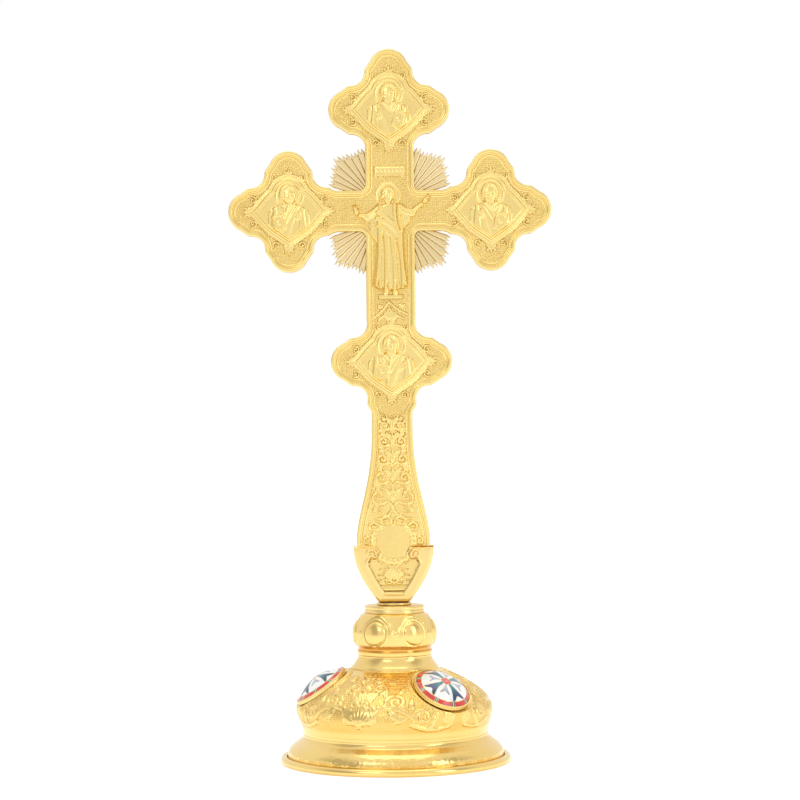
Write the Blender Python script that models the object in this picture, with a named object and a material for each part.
"""Gilt blessing and processional cross standing in its own stand.

The cross is a sandwich of two struck plates and a core, with four sunburst fans
caught between them. Its flared grip drops into a pressed cup, which is screwed
on a tie rod. The rod clamps a turned cap, knop, waist ring, neck and bell-shaped
foot. Three domed enamel medallions sit on flats struck in the bell.

Frame: origin at the centre of the foot's underside, +Z up, front face towards -Y.
The constants are millimetres and degrees; MM turns them into metres.
"""

import math

import bmesh
import bpy
from mathutils import Matrix, Vector

MM = 0.001

# ---- clearances ----
SEAT_GAP = 0.3  # between two pieces that rest on or are soldered to each other
BORE_GAP = 0.35  # between the tie rod and the bores that it passes through
GRIP_GAP = 0.5  # between the cross's grip and the cup that it drops into

# ---- cross, seen from the front ----
TOP_NODE_Z = 333.0  # centre of the upper quatrefoil
ARM_Z = 281.3  # axis of the cross bar
ARM_NODE_X = 51.6  # centre of each side quatrefoil
LOW_NODE_Z = 204.3  # centre of the lower quatrefoil
SHAFT_HALF = 12.5
BAR_HALF = 10.4
CROSSING_FILLET = 3.0
LOBE_CENTRE = 20.9  # from a quatrefoil's centre to the centre of one lobe's arc
LOBE_RADIUS = 10.0
LOBE_SPAN = 68.0  # half angle of a lobe's arc
COVE_CENTRE = 19.2  # the coves between the lobes are centred at (this, this)
COVE_RADIUS = 6.9
COVE_TRIM = 5.0  # each cove stops this many degrees short of a quarter circle
EAR_TIP = (20.6, 12.1)  # small ear where a cove meets a lobe: along and across the lobe
EAR_HEEL = (22.0, 11.2)
GRIP_NECK_DROP = 26.0  # below the lower quatrefoil's centre
GRIP_NECK_HALF = 10.4
GRIP_WIDE_Z = 112.0
GRIP_FLARE = 1.55  # how late the grip flares: the power on the way down

# ---- cross, through its thickness ----
CORE_THICK = 2.0
CORE_INSET = 0.5
PLATE_GAP = 0.2
FLOOR_THICK = 1.2
RIM_RAISE = 0.9
RIM_WIDTH = 2.0
PLAQUE_THICK = 0.6
PLAQUE_HALF = 17.6  # half diagonal of a lozenge plaque
PLAQUE_POINT = 2.4  # half width of the flat that ends each point
CORPUS_THICK = 1.7

# ---- sunburst fans ----
FAN_FOCUS = (6.5, 5.2)  # where one fan's rays meet, from the crossing's centre
FAN_ROOT = 4.0
FAN_THICK = 1.8
RAY_COUNT = 7
RAY_PITCH = 8.4
RAY_MIDDLE = 47.0
RAY_LONG = 31.5
RAY_SHORTENING = 0.0038  # share of the length lost per degree away from the middle ray
RAY_NOTCH = 0.86  # where two rays part, as a share of their length

# ---- cup ----
CUP_TOP_Z = 110.1
CUP_BOTTOM_Z = 81.4
CUP_TOP_HALF = 20.5
CUP_BOTTOM_HALF = 7.6
CUP_ROUNDNESS = 0.92
CUP_WALL = 1.2
CUP_EDGE_ROUND = 2.2
CUP_FLOOR = 5.4  # from the cup's underside to the floor that the grip stands on
WINDOW_BOTTOM = (4.4, 5.0)  # half width, and height above the cup's underside
WINDOW_WAIST = (12.4, 18.6)
CURL_RADIUS = 2.6
CURL_REACH = 7.6  # how near the middle the curled end of each cheek comes

# ---- stand, from the top of the stack down ----
CAP_TOP_Z = 80.0
CAP_RADIUS = 14.8
CAP_THICK = 3.6
SPIGOT_RADIUS = 9.0
SPIGOT_LENGTH = 3.0
WASHER_THICK = 0.8
SWIVEL_WASHER_RADIUS = 6.4
KNOP_RADIUS = 20.6
KNOP_HEIGHT = 17.5
KNOP_WALL = 1.2
KNOP_PROFILE = [  # radius, and height above the knop's underside, from the top down
    (15.0, 17.5),
    (17.3, 16.6),
    (18.7, 15.4),
    (20.2, 12.6),
    (KNOP_RADIUS, 8.4),
    (20.4, 3.8),
    (19.6, 0.4),
    (19.2, 0.0),
]
KNOP_BOSSES = 6
BOSS_RADIUS = 6.6
BOSS_RAISE = 1.3
WAIST_HEIGHT = 3.4
WAIST_RADIUS = 18.8
WAIST_GROOVE = 1.6
NECK_HEIGHT = 5.7
NECK_RADIUS = 19.3
NECK_FLARE = 1.5
NECK_WALL = 1.6
BELL_WALL = 1.2
BELL_SKIRT_RADIUS = 55.2
BELL_PROFILE = [  # radius and height of the bell's outside, from its seat to its hem
    (25.7, 46.2),
    (31.0, 43.8),
    (35.4, 41.6),
    (39.5, 39.2),
    (43.0, 36.6),
    (46.5, 33.4),
    (48.6, 30.0),
    (49.4, 26.5),
    (49.2, 23.5),
    (48.2, 20.0),
    (46.9, 15.6),
    (47.8, 13.0),
    (50.0, 11.2),
    (52.8, 9.2),
    (54.6, 7.0),
    (BELL_SKIRT_RADIUS, 5.2),
]
FOOT_RADIUS = 59.0
FOOT_HEIGHT = 3.8
FOOT_LEDGE = 1.5
FOOT_INNER_RADIUS = 50.0

# ---- tie rod ----
ROD_RADIUS = 2.5
ROD_IN_CUP = 4.2
ROD_BOTTOM_Z = 38.0
NUT_ACROSS_CORNERS = 9.2
NUT_THICK = 4.2
CLAMP_WASHER_RADIUS = 9.0

# ---- medallions ----
MEDALLION_COUNT = 3
FIRST_MEDALLION_DEG = 38.4  # from the front, towards +X
MEDALLION_REACH = 37.1  # from the axis to the middle of the flat that it sits on
MEDALLION_Z = 38.3
MEDALLION_TILT = 35.0  # of the flat, from level
FLAT_THICK = 2.6
BEZEL_RADIUS = 14.7
BEZEL_LIP = 0.7
BEZEL_BASE = 0.8
BEZEL_HEIGHT = 2.2
ENAMEL_EDGE = 1.0
ENAMEL_RISE = 4.8
POST_RADIUS = 1.5
POST_LENGTH = 6.6
POST_NUT_THICK = 2.0
POST_NUT_ACROSS_CORNERS = 6.4

# ---- facets ----
ARC_STEPS = 5
COVE_STEPS = 3
ROUND_STEPS = 36
SMALL_ROUND_STEPS = 24

# ---- finishes: colour, roughness, metallic ----
FINISHES = {
    "gilt": ((0.93, 0.71, 0.29), 0.22, 1.0),
    "pale_gilt": ((0.92, 0.84, 0.62), 0.3, 1.0),
    "enamel": ((0.9, 0.9, 0.88), 0.12, 0.0),
    "steel": ((0.62, 0.62, 0.6), 0.35, 1.0),
}

GRIP_NECK_Z = LOW_NODE_Z - GRIP_NECK_DROP
CORE_FACE = CORE_THICK / 2
PLATE_BACK = CORE_FACE + PLATE_GAP
PLATE_FLOOR = PLATE_BACK + FLOOR_THICK
PLATE_RIM = PLATE_FLOOR + RIM_RAISE
CUP_FACE = PLATE_RIM + GRIP_GAP + CUP_WALL
BORE_RADIUS = ROD_RADIUS + BORE_GAP
GRIP_WIDE_HALF = CUP_TOP_HALF - CUP_WALL - GRIP_GAP
FLAT_RADIUS = BEZEL_RADIUS + 1.2
SPIGOT_HOLE = SPIGOT_RADIUS + SEAT_GAP


# ---- tools ----


def clear_scene():
    for obj in list(bpy.data.objects):
        bpy.data.objects.remove(obj)


def make_finishes():
    made = {}
    for name, (colour, roughness, metallic) in FINISHES.items():
        made[name] = bpy.data.materials.new(name)
        made[name].use_nodes = True
        shader = made[name].node_tree.nodes["Principled BSDF"]
        shader.inputs["Base Color"].default_value = (*colour, 1.0)
        shader.inputs["Roughness"].default_value = roughness
        shader.inputs["Metallic"].default_value = metallic
    return made


def add_object(name, mesh, finish):
    obj = bpy.data.objects.new(name, mesh)
    bpy.context.scene.collection.objects.link(obj)
    material = finishes[finish].copy()
    material.name = name
    obj.data.materials.append(material)
    return obj


def mesh_from(name, verts, faces):
    """A mesh from points in millimetres, with its faces turned outwards."""
    mesh = bpy.data.meshes.new(name)
    mesh.from_pydata([[c * MM for c in v] for v in verts], [], faces)
    shaped = bmesh.new()
    shaped.from_mesh(mesh)
    bmesh.ops.remove_doubles(shaped, verts=shaped.verts, dist=1e-3 * MM)
    bmesh.ops.recalc_face_normals(shaped, faces=shaped.faces)
    shaped.to_mesh(mesh)
    shaped.free()
    return mesh


def prism(name, outline, near, far, finish="gilt"):
    """The outline, in X and Z, extruded along Y from near to far."""
    count = len(outline)
    verts = [(x, near, z) for x, z in outline] + [(x, far, z) for x, z in outline]
    sides = [
        (i, (i + 1) % count, count + (i + 1) % count, count + i) for i in range(count)
    ]
    caps = [tuple(range(count)), tuple(range(2 * count - 1, count - 1, -1))]
    return add_object(name, mesh_from(name, verts, sides + caps), finish)


def turned(name, profile, steps, finish="gilt", swell=None):
    """A closed profile of (radius, height) spun about Z.

    swell(angle, radius, height) gives the radius to use there instead."""
    verts, faces, count = [], [], len(profile)
    for step in range(steps):
        angle = 2 * math.pi * step / steps
        for radius, height in profile:
            r = swell(angle, radius, height) if swell else radius
            verts.append((r * math.cos(angle), r * math.sin(angle), height))
    for step in range(steps):
        here, there = step * count, (step + 1) % steps * count
        for i in range(count):
            j = (i + 1) % count
            faces.append((here + i, there + i, there + j, here + j))
    mesh = mesh_from(name, verts, faces)
    shaped = bmesh.new()
    shaped.from_mesh(mesh)
    bmesh.ops.dissolve_degenerate(shaped, dist=1e-3 * MM, edges=shaped.edges)
    bmesh.ops.recalc_face_normals(shaped, faces=shaped.faces)
    shaped.to_mesh(mesh)
    shaped.free()
    mesh.shade_smooth()
    mesh.set_sharp_from_angle(angle=math.radians(35))
    return add_object(name, mesh, finish)


def boolean(obj, tool, operation):
    """Cuts obj with the tool, or joins them; the tool stays as a hidden helper."""
    tool.hide_render = True
    tool.display_type = "WIRE"
    modifier = obj.modifiers.new(tool.name, "BOOLEAN")
    modifier.operation = operation
    modifier.solver = "EXACT"
    modifier.object = tool
    return obj


def arc(cx, cz, radius, start, end, steps):
    """Points from one angle to another, in degrees, both ends included."""
    angles = [math.radians(start + (end - start) * i / steps) for i in range(steps + 1)]
    return [(cx + radius * math.cos(a), cz + radius * math.sin(a)) for a in angles]


def mirrored(points):
    """A half outline, from top to bottom on the +X side, closed by its mirror image."""
    return points + [(-x, z) for x, z in reversed(points) if abs(x) > 1e-6]


def offset(points, distance):
    """An open line of points, run downwards, moved to its -X side, square to its run."""
    moved = []
    for i, (x, z) in enumerate(points):
        before, after = points[max(i - 1, 0)], points[min(i + 1, len(points) - 1)]
        dx, dz = after[0] - before[0], after[1] - before[1]
        length = math.hypot(dx, dz)
        moved.append((x + dz / length * distance, z - dx / length * distance))
    return moved


# ---- outlines of the cross ----


def turn(points, centre, degrees, flip=False):
    """Local points, (along, across) a lobe, placed at a quatrefoil's centre."""
    c, s = math.cos(math.radians(degrees)), math.sin(math.radians(degrees))
    placed = []
    for along, across in points:
        q = -across if flip else across
        placed.append((centre[0] + along * c - q * s, centre[1] + along * s + q * c))
    return placed


def lobe(centre, degrees, inset, first=LOBE_SPAN, last=-LOBE_SPAN, steps=ARC_STEPS):
    points = arc(LOBE_CENTRE, 0, LOBE_RADIUS - inset, first, last, steps)
    return turn(points, centre, degrees)


def cove(centre, quadrant, inset, ears=(True, True)):
    """The cove in one quadrant, run clockwise, with the ears that flank it."""
    points = arc(
        COVE_CENTRE,
        COVE_CENTRE,
        COVE_RADIUS + inset,
        180 + COVE_TRIM,
        270 - COVE_TRIM,
        COVE_STEPS,
    )
    if inset == 0 and ears[0]:
        points = [(x, z) for z, x in (EAR_HEEL, EAR_TIP)] + points
    if inset == 0 and ears[1]:
        points = points + [EAR_TIP, EAR_HEEL]
    return turn(points, centre, quadrant * 90)


def grip_half(z):
    """Half width of the grip: a smooth step from its neck to its widest part."""
    way = (GRIP_NECK_Z - z) / (GRIP_NECK_Z - GRIP_WIDE_Z)
    late = min(max(way, 0.0), 1.0) ** GRIP_FLARE
    return GRIP_NECK_HALF + (GRIP_WIDE_HALF - GRIP_NECK_HALF) * late**2 * (3 - 2 * late)


def cup_half(z):
    """Half width of the cup's outside: a sine arch from its foot to its mouth."""
    way = min(max((z - CUP_BOTTOM_Z) / (CUP_TOP_Z - CUP_BOTTOM_Z), 0.0), 1.0)
    swell = math.sin(math.pi / 2 * way**CUP_ROUNDNESS)
    return CUP_BOTTOM_HALF + (CUP_TOP_HALF - CUP_BOTTOM_HALF) * swell


def cup_flank(steps=7):
    """The cup's outside on the +X side, from its mouth down to its foot."""
    heights = [
        CUP_TOP_Z + (CUP_BOTTOM_Z - CUP_TOP_Z) * i / steps for i in range(steps + 1)
    ]
    return [(cup_half(z), z) for z in heights]


def inside_cup(distance, floor_z):
    """The cup's flank moved inwards and cut off level at floor_z."""
    flank = offset(cup_flank(), distance)
    kept = [p for p in flank if p[1] > floor_z]
    below = flank[len(kept)]
    last = kept[-1]
    share = (last[1] - floor_z) / (last[1] - below[1])
    return kept + [(last[0] + (below[0] - last[0]) * share, floor_z)]


def cross_outline(inset):
    """The outline of the whole cross, moved inwards by inset."""
    top = (0.0, TOP_NODE_Z)
    side = (ARM_NODE_X, ARM_Z)
    low = (0.0, LOW_NODE_Z)
    shaft, bar = SHAFT_HALF - inset, BAR_HALF - inset
    fillet = CROSSING_FILLET + inset
    corner = SHAFT_HALF + CROSSING_FILLET
    half = lobe(top, 90, inset, first=0, steps=3)
    half += cove(top, 0, inset) + lobe(top, 0, inset)
    half += cove(top, 3, inset, ears=(True, False))
    half += [(shaft, TOP_NODE_Z - LOBE_CENTRE - inset)]
    upper = ARM_Z + BAR_HALF + CROSSING_FILLET
    half += arc(corner, upper, fillet, 180, 270, 3)
    bar_end = ARM_NODE_X - LOBE_CENTRE - 3.6
    half += [(bar_end, ARM_Z + bar)] + cove(side, 1, inset)
    half += lobe(side, 90, inset) + cove(side, 0, inset) + lobe(side, 0, inset)
    half += cove(side, 3, inset) + lobe(side, 270, inset)
    half += cove(side, 2, inset) + [(bar_end, ARM_Z - bar)]
    lower = ARM_Z - BAR_HALF - CROSSING_FILLET
    half += arc(corner, lower, fillet, 90, 180, 3)
    half += [(shaft, LOW_NODE_Z + LOBE_CENTRE + inset)]
    half += cove(low, 0, inset, ears=(False, True)) + lobe(low, 0, inset)
    half += cove(low, 3, inset, ears=(True, False))
    half += [(shaft, LOW_NODE_Z - LOBE_CENTRE - 1.2)]
    half += grip_flank(inset)
    return mirrored(half)


def grip_flank(inset, steps=9):
    """The grip from its neck to its foot inside the cup, on the +X side."""
    mouth = CUP_TOP_Z + 1.0
    heights = [GRIP_NECK_Z + (mouth - GRIP_NECK_Z) * i / steps for i in range(steps + 1)]
    points = [(grip_half(z) - inset, z) for z in heights]
    foot = CUP_BOTTOM_Z + CUP_FLOOR + SEAT_GAP + inset
    return points + inside_cup(CUP_WALL + GRIP_GAP + inset, foot)[1:]


def lozenge(centre, half, point):
    """A square set on its corner, with a short flat at each point."""
    x, z = centre
    corners = [(point, half), (half, point), (half, -point), (point, -half)]
    return [(x + a, z + b) for a, b in corners + [(-a, -b) for a, b in corners]]


def corpus_outline():
    """A standing robed figure with its arms spread along the bar."""
    crown = arc(0, ARM_Z + 8.6, 6.4, 90, -50, 7)
    arm = [(6.5, ARM_Z + 1.6), (17.0, ARM_Z + 5.4), (20.5, ARM_Z + 4.6)]
    under_arm = [(18.0, ARM_Z + 2.2), (7.4, ARM_Z - 3.6)]
    robe = [(6.2, ARM_Z - 18.0), (7.6, ARM_Z - 34.0), (7.6, ARM_Z - 42.0), (0, ARM_Z - 42.0)]
    return mirrored(crown + arm + under_arm + robe)


# ---- the cross ----


def make_plate(name, side):
    """A struck plate: its rim stands proud of a sunk field. side is -1 in front."""
    plate = prism(name, cross_outline(0), side * PLATE_BACK, side * PLATE_RIM)
    field = prism(
        name + "_field",
        cross_outline(RIM_WIDTH),
        side * PLATE_FLOOR,
        side * (PLATE_RIM + RIM_RAISE),
    )
    return boolean(plate, field, "DIFFERENCE")


def fan_ray_length(degrees):
    return RAY_LONG * (1 - RAY_SHORTENING * abs(degrees - RAY_MIDDLE))


def fan_outline(right, up):
    """One fan: a round root and a saw-toothed edge. right and up are 1 or -1."""
    start, end = fan_sides()
    polar = []
    for i in range(RAY_COUNT):
        middle = start + RAY_PITCH * (i + 0.5)
        polar.append((fan_ray_length(middle - RAY_PITCH / 2) * RAY_NOTCH, start + RAY_PITCH * i))
        polar.append((fan_ray_length(middle), middle))
    polar.append((fan_ray_length(end) * RAY_NOTCH, end))
    polar += [(FAN_ROOT, end + (start - end) * i / 4) for i in range(5)]
    return [from_focus(right, up, radius, degrees) for radius, degrees in polar]


def fan_sides():
    """The angles of a fan's two straight sides."""
    half = RAY_PITCH * RAY_COUNT / 2
    return RAY_MIDDLE - half, RAY_MIDDLE + half


def from_focus(right, up, radius, degrees, aside=0.0):
    """A point at a radius and angle from a fan's focus, then moved aside from that ray."""
    c, s = math.cos(math.radians(degrees)), math.sin(math.radians(degrees))
    x = FAN_FOCUS[0] + radius * c - aside * s
    z = FAN_FOCUS[1] + radius * s + aside * c
    return (right * x, ARM_Z + up * z)


def fan_notch(right, up):
    """The room in the core for one fan: its root and sides, with a gap all round."""
    start, end = fan_sides()
    root, far = FAN_ROOT - SEAT_GAP, RAY_LONG
    points = [from_focus(right, up, far, start, -SEAT_GAP)]
    points += [from_focus(right, up, far, end, SEAT_GAP)]
    points += [from_focus(right, up, root, end, SEAT_GAP)]
    return points + [from_focus(right, up, root, start, -SEAT_GAP)]


def make_core():
    """The core plate, notched where the four fans' roots lie in it."""
    core = prism("core_plate", cross_outline(CORE_INSET), -CORE_FACE, CORE_FACE)
    for name, right, up in FANS:
        notch = prism(name + "_notch", fan_notch(right, up), -CORE_THICK, CORE_THICK)
        boolean(core, notch, "DIFFERENCE")
    return core


FANS = [
    ("sunburst_upper_right", 1, 1),
    ("sunburst_upper_left", -1, 1),
    ("sunburst_lower_left", -1, -1),
    ("sunburst_lower_right", 1, -1),
]


def make_cross():
    make_plate("front_plate", -1)
    make_plate("back_plate", 1)
    make_core()
    for name, right, up in FANS:
        prism(name, fan_outline(right, up), -FAN_THICK / 2, FAN_THICK / 2, "pale_gilt")
    seat = PLATE_FLOOR + SEAT_GAP
    plaques = {
        "upper_icon_plaque": (0.0, TOP_NODE_Z),
        "left_icon_plaque": (-ARM_NODE_X, ARM_Z),
        "right_icon_plaque": (ARM_NODE_X, ARM_Z),
        "lower_icon_plaque": (0.0, LOW_NODE_Z),
    }
    for name, centre in plaques.items():
        outline = lozenge(centre, PLAQUE_HALF, PLAQUE_POINT)
        prism(name, outline, -seat, -seat - PLAQUE_THICK)
    prism("corpus_relief", corpus_outline(), -seat, -seat - CORPUS_THICK)


# ---- the cup ----


def cup_outline():
    return mirrored([(0.0, CUP_TOP_Z)] + cup_flank() + [(0.0, CUP_BOTTOM_Z)])


def cup_pocket():
    """The room in the cup for the grip and, under it, for the rod's block."""
    flank = inside_cup(CUP_WALL, CUP_BOTTOM_Z + CUP_WALL)
    above = CUP_TOP_Z + CUP_WALL
    return mirrored([(0.0, above), (flank[0][0], above)] + flank + [(0.0, flank[-1][1])])


def cup_window():
    """The opening in the cup's front: a narrow foot, a waist and two curled cheeks."""
    curl_z = CUP_TOP_Z - CURL_RADIUS - 0.4
    curl = arc(CURL_REACH + CURL_RADIUS, curl_z, CURL_RADIUS, 270, 110, 5)
    above = CUP_TOP_Z + CUP_WALL
    half = [(0.0, CUP_BOTTOM_Z + WINDOW_BOTTOM[1])]
    half += [(WINDOW_BOTTOM[0], CUP_BOTTOM_Z + WINDOW_BOTTOM[1])]
    half += [(WINDOW_WAIST[0], CUP_BOTTOM_Z + WINDOW_WAIST[1])]
    half += curl + [(curl[-1][0], above), (0.0, above)]
    return mirrored(half)


def make_cup_half(name, side, window):
    """One pressed half of the cup, open towards the other half. side is -1 in front."""
    shell = prism(name, cup_outline(), side * SEAT_GAP / 2, side * CUP_FACE)
    rounding = shell.modifiers.new("rounded_face", "BEVEL")
    rounding.width = CUP_EDGE_ROUND * MM
    rounding.segments = 2
    rounding.limit_method = "VGROUP"
    rounding.vertex_group = face_edge_group(shell, side * CUP_FACE).name
    pocket = prism(name + "_pocket", cup_pocket(), -side * CUP_WALL, side * (CUP_FACE - CUP_WALL))
    boolean(shell, pocket, "DIFFERENCE")
    if window:
        opening = prism(name + "_window", cup_window(), 0.0, side * (CUP_FACE + CUP_WALL))
        boolean(shell, opening, "DIFFERENCE")
    rod_hole = turned(
        name + "_rod_hole",
        [
            (0.0, CUP_BOTTOM_Z - CUP_WALL),
            (BORE_RADIUS, CUP_BOTTOM_Z - CUP_WALL),
            (BORE_RADIUS, CUP_BOTTOM_Z + 2 * CUP_WALL),
            (0.0, CUP_BOTTOM_Z + 2 * CUP_WALL),
        ],
        SMALL_ROUND_STEPS,
    )
    return boolean(shell, rod_hole, "DIFFERENCE")


def face_edge_group(obj, face_y):
    """Marks the flank's edges on the outer face, but not those at the mouth and foot."""
    group = obj.vertex_groups.new(name="face_edge")
    for vertex in obj.data.vertices:
        on_face = abs(vertex.co.y - face_y * MM) < 1e-6
        if on_face and abs(vertex.co.x) > CUP_BOTTOM_HALF * MM / 2:
            group.add([vertex.index], 1.0, "REPLACE")
    return group


def make_rod_block():
    """The tapped block in the cup's foot, which the grip stands on."""
    low = CUP_BOTTOM_Z + CUP_WALL + SEAT_GAP
    high = CUP_BOTTOM_Z + CUP_FLOOR
    flank = offset(cup_flank(), CUP_WALL + SEAT_GAP)
    widths = [half_width_at(flank, low), half_width_at(flank, high)]
    outline = [(widths[0], low), (widths[1], high), (-widths[1], high), (-widths[0], low)]
    depth = CUP_FACE - CUP_WALL - SEAT_GAP
    block = prism("cup_rod_block", outline, -depth, depth)
    tapped = turned(
        "cup_rod_block_thread",
        [
            (0.0, low - CUP_WALL),
            (BORE_RADIUS, low - CUP_WALL),
            (BORE_RADIUS, high + CUP_WALL),
            (0.0, high + CUP_WALL),
        ],
        SMALL_ROUND_STEPS,
    )
    return boolean(block, tapped, "DIFFERENCE")


def half_width_at(flank, z):
    """The half width of an open flank, run from top to bottom, at a height."""
    for (x0, z0), (x1, z1) in zip(flank, flank[1:]):
        if z1 <= z <= z0:
            return x0 + (x1 - x0) * (z0 - z) / (z0 - z1)
    return flank[-1][0]


def make_cup():
    make_cup_half("cup_front", -1, window=True)
    make_cup_half("cup_back", 1, window=False)
    make_rod_block()


# ---- the stand ----


def knop_belly():
    return [(radius, KNOP_BOTTOM_Z + height) for radius, height in KNOP_PROFILE]


def knop_swell(angle, radius, height):
    """Six round bosses stand out of the knop's belly, and only on its outside."""
    middle = KNOP_BOTTOM_Z + KNOP_HEIGHT / 2 - 0.8
    pitch = 2 * math.pi / KNOP_BOSSES
    around = ((angle + pitch / 2) % pitch - pitch / 2) * KNOP_RADIUS
    away = math.hypot(around, height - middle) / BOSS_RADIUS
    outside = (radius, height) in knop_belly()
    return radius + (BOSS_RAISE * (1 - away**2) if outside and away < 1 else 0.0)


KNOP_TOP_Z = CAP_TOP_Z - CAP_THICK - SEAT_GAP
KNOP_BOTTOM_Z = KNOP_TOP_Z - KNOP_HEIGHT
WAIST_TOP_Z = KNOP_BOTTOM_Z - SEAT_GAP
NECK_TOP_Z = WAIST_TOP_Z - WAIST_HEIGHT - SEAT_GAP
NECK_BOTTOM_Z = NECK_TOP_Z - NECK_HEIGHT
BELL_SEAT_Z = NECK_BOTTOM_Z - SEAT_GAP


def make_cap():
    under = CAP_TOP_Z - CAP_THICK
    profile = [
        (BORE_RADIUS, CAP_TOP_Z),
        (CAP_RADIUS - 0.5, CAP_TOP_Z),
        (CAP_RADIUS, CAP_TOP_Z - 0.5),
        (CAP_RADIUS, under),
        (SPIGOT_RADIUS, under),
        (SPIGOT_RADIUS, under - SPIGOT_LENGTH),
        (BORE_RADIUS, under - SPIGOT_LENGTH),
    ]
    turned("stand_cap", profile, ROUND_STEPS)


def make_knop():
    """A pressed hollow bulb, open at both ends for the spigots of its neighbours."""
    belly = knop_belly()
    low, high = KNOP_BOTTOM_Z + KNOP_WALL, KNOP_TOP_Z - KNOP_WALL
    outer = [(SPIGOT_HOLE, KNOP_TOP_Z)] + belly + [(SPIGOT_HOLE, KNOP_BOTTOM_Z)]
    lining = [(r - KNOP_WALL, min(max(z, low), high)) for r, z in belly[:0:-1]]
    inner = [(SPIGOT_HOLE, low)] + lining + [(SPIGOT_HOLE, high)]
    turned("knop", outer + inner, ROUND_STEPS, swell=knop_swell)


def make_waist_ring():
    top, bottom = WAIST_TOP_Z, WAIST_TOP_Z - WAIST_HEIGHT
    profile = [
        (BORE_RADIUS, top + SPIGOT_LENGTH),
        (SPIGOT_RADIUS, top + SPIGOT_LENGTH),
        (SPIGOT_RADIUS, top),
        (WAIST_RADIUS, top),
        (WAIST_RADIUS - WAIST_GROOVE, (top + bottom) / 2),
        (WAIST_RADIUS, bottom),
        (SPIGOT_RADIUS, bottom),
        (SPIGOT_RADIUS, bottom - SPIGOT_LENGTH),
        (BORE_RADIUS, bottom - SPIGOT_LENGTH),
    ]
    turned("waist_ring", profile, ROUND_STEPS)


def make_neck():
    top, bottom = NECK_TOP_Z, NECK_BOTTOM_Z
    profile = [
        (SPIGOT_HOLE, top),
        (NECK_RADIUS, top),
        (NECK_RADIUS, bottom + NECK_FLARE * 1.6),
        (NECK_RADIUS + NECK_FLARE, bottom),
        (NECK_RADIUS - NECK_WALL, bottom),
        (NECK_RADIUS - NECK_WALL, top - NECK_WALL),
        (SPIGOT_HOLE, top - NECK_WALL),
    ]
    turned("neck_collar", profile, ROUND_STEPS)


def bell_outside():
    """The bell from its seat to its hem: a falling shoulder, a waist and a flare."""
    start = [(NECK_RADIUS + NECK_FLARE, BELL_SEAT_Z)]
    return start + BELL_PROFILE + [(BELL_SKIRT_RADIUS, FOOT_LEDGE + SEAT_GAP)]


def bell_inside():
    """The bell's outside moved in by the wall, from the hem back up to the rod's hole."""
    outside = bell_outside()
    moved = offset(outside, BELL_WALL)[::-1]
    hem = (BELL_SKIRT_RADIUS - BELL_WALL, FOOT_LEDGE + SEAT_GAP)
    return [hem] + moved[1:-1] + [(outside[0][0] - 1.0, BELL_SEAT_Z - BELL_WALL)]


def medallion_frame(index):
    """The placement of one medallion: its own Z is square to its flat, outwards."""
    azimuth = math.radians(FIRST_MEDALLION_DEG + 360 / MEDALLION_COUNT * index)
    out = Vector((math.sin(azimuth), -math.cos(azimuth), 0.0))
    tilt = math.radians(MEDALLION_TILT)
    normal = out * math.sin(tilt) + Vector((0.0, 0.0, math.cos(tilt)))
    across = Vector((0.0, 0.0, 1.0)).cross(out)
    place = Matrix((across, normal.cross(across), normal)).transposed().to_4x4()
    place.translation = (out * MEDALLION_REACH + Vector((0, 0, MEDALLION_Z))) * MM
    return place


def round_bar(name, radius, low, high, steps=SMALL_ROUND_STEPS, finish="gilt"):
    profile = [(0.0, high), (radius, high), (radius, low), (0.0, low)]
    return turned(name, profile, steps, finish)


def bars_at_medallions(name, radius, low, high, steps):
    """One tool with a round bar at each medallion's place, square to its flat."""
    shaped = bmesh.new()
    for i in range(MEDALLION_COUNT):
        bar = round_bar(f"{name}_{i}", radius, low, high, steps)
        bar.data.transform(medallion_frame(i))
        shaped.from_mesh(bar.data)
        bpy.data.objects.remove(bar)
    mesh = bpy.data.meshes.new(name)
    shaped.to_mesh(mesh)
    shaped.free()
    return add_object(name, mesh, "gilt")


def make_bell():
    """The bell, with a flat disc let into it under each medallion and a hole for its post."""
    profile = [(BORE_RADIUS, BELL_SEAT_Z)] + bell_outside() + bell_inside()
    profile += [(BORE_RADIUS, BELL_SEAT_Z - BELL_WALL)]
    bell = turned("bell_foot", profile, ROUND_STEPS)
    flats = bars_at_medallions("flats", FLAT_RADIUS, -FLAT_THICK, 0.0, SMALL_ROUND_STEPS)
    boolean(bell, flats, "UNION")
    above = bars_at_medallions("above_flats", FLAT_RADIUS + 0.7, 0.0, 4 * FLAT_THICK, 32)
    boolean(bell, above, "DIFFERENCE")
    holes = bars_at_medallions("post_holes", POST_RADIUS + SEAT_GAP, -POST_LENGTH, FLAT_THICK, 12)
    boolean(bell, holes, "DIFFERENCE")


def make_foot_rim():
    """The rolled bead round the hem, with the ledge that the bell stands on."""
    half = FOOT_HEIGHT / 2
    bead = arc(FOOT_RADIUS - half, half, half, 150, -90, 8)
    wall = BELL_SKIRT_RADIUS + SEAT_GAP
    profile = [(FOOT_INNER_RADIUS, FOOT_LEDGE), (wall, FOOT_LEDGE)]
    profile += [(max(r, wall), z) for r, z in bead] + [(FOOT_INNER_RADIUS, 0.0)]
    turned("foot_rim", profile, ROUND_STEPS)


def make_washer(name, radius, bottom, finish="gilt"):
    profile = [
        (BORE_RADIUS, bottom + WASHER_THICK),
        (radius, bottom + WASHER_THICK),
        (radius, bottom),
        (BORE_RADIUS, bottom),
    ]
    turned(name, profile, SMALL_ROUND_STEPS, finish)


def make_nut(name, bore, corner, high, thick):
    """A six-sided nut; its hole is six-sided too, and clears the bore's circle."""
    hole = bore / math.cos(math.pi / 6)
    profile = [(hole, high), (corner, high), (corner, high - thick), (hole, high - thick)]
    return turned(name, profile, 6, "steel")


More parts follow.
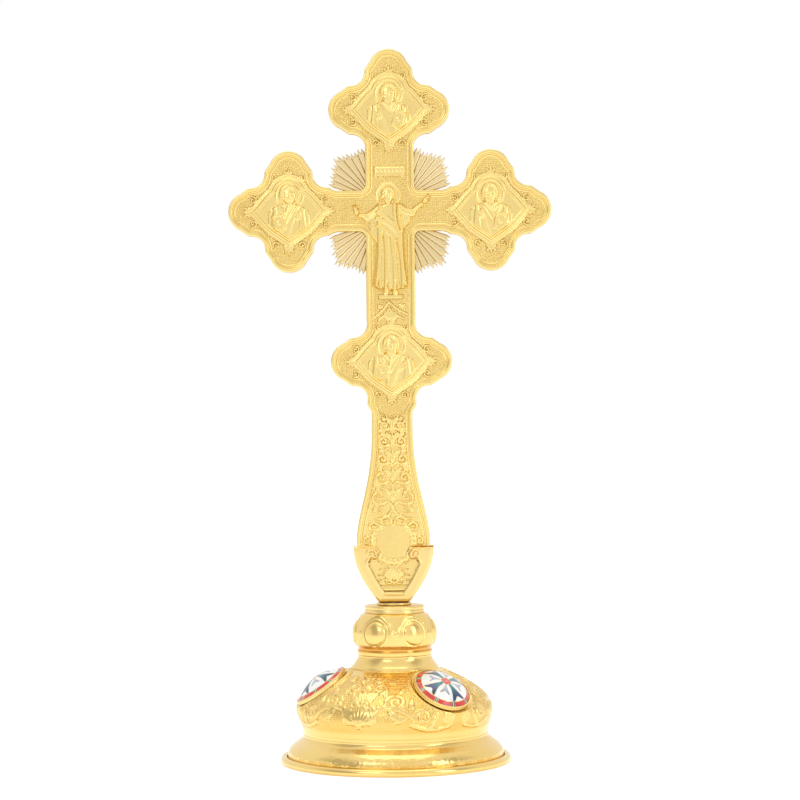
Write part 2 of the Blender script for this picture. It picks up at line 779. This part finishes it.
def make_tie_rod():
    top = CUP_BOTTOM_Z + ROD_IN_CUP
    round_bar("tie_rod", ROD_RADIUS, ROD_BOTTOM_Z, top, finish="steel")
    washer_z = BELL_SEAT_Z - BELL_WALL - SEAT_GAP - WASHER_THICK
    make_washer("clamp_washer", CLAMP_WASHER_RADIUS, washer_z, "steel")
    nut_top = washer_z - SEAT_GAP
    make_nut("tie_nut", BORE_RADIUS, NUT_ACROSS_CORNERS / 2, nut_top, NUT_THICK)


def make_stand():
    make_washer("swivel_washer", SWIVEL_WASHER_RADIUS, CAP_TOP_Z + SEAT_GAP)
    make_cap()
    make_knop()
    make_waist_ring()
    make_neck()
    make_bell()
    make_foot_rim()
    make_tie_rod()


# ---- the medallions ----


def make_bezel(name, place):
    """A shallow cup with a fixing post under it."""
    low, high = SEAT_GAP, SEAT_GAP + BEZEL_HEIGHT
    floor = low + BEZEL_BASE
    profile = [
        (0.0, floor),
        (BEZEL_RADIUS - BEZEL_LIP, floor),
        (BEZEL_RADIUS - BEZEL_LIP, high),
        (BEZEL_RADIUS, high),
        (BEZEL_RADIUS, low),
        (POST_RADIUS, low),
        (POST_RADIUS, low - POST_LENGTH),
        (0.0, low - POST_LENGTH),
    ]
    turned(name, profile, SMALL_ROUND_STEPS).matrix_world = place


def make_enamel(name, place):
    """A domed enamel disc that lies in the bezel."""
    low = SEAT_GAP + BEZEL_BASE + SEAT_GAP
    radius = BEZEL_RADIUS - BEZEL_LIP - SEAT_GAP
    edge = low + ENAMEL_EDGE
    dome = [(radius * s, edge + ENAMEL_RISE * (1 - s * s)) for s in (0.4, 0.72, 1.0)]
    profile = [(0.0, edge + ENAMEL_RISE)] + dome + [(radius, low), (0.0, low)]
    turned(name, profile, SMALL_ROUND_STEPS, "enamel").matrix_world = place


def make_post_nut(name, place):
    high, corner = -FLAT_THICK - SEAT_GAP, POST_NUT_ACROSS_CORNERS / 2
    nut = make_nut(name, POST_RADIUS + SEAT_GAP, corner, high, POST_NUT_THICK)
    nut.matrix_world = place


def make_medallions():
    for i in range(MEDALLION_COUNT):
        place = medallion_frame(i)
        make_bezel(f"medallion_bezel_{i + 1}", place)
        make_enamel(f"medallion_enamel_{i + 1}", place)
        make_post_nut(f"medallion_nut_{i + 1}", place)


clear_scene()
finishes = make_finishes()
make_cross()
make_cup()
make_stand()
make_medallions()
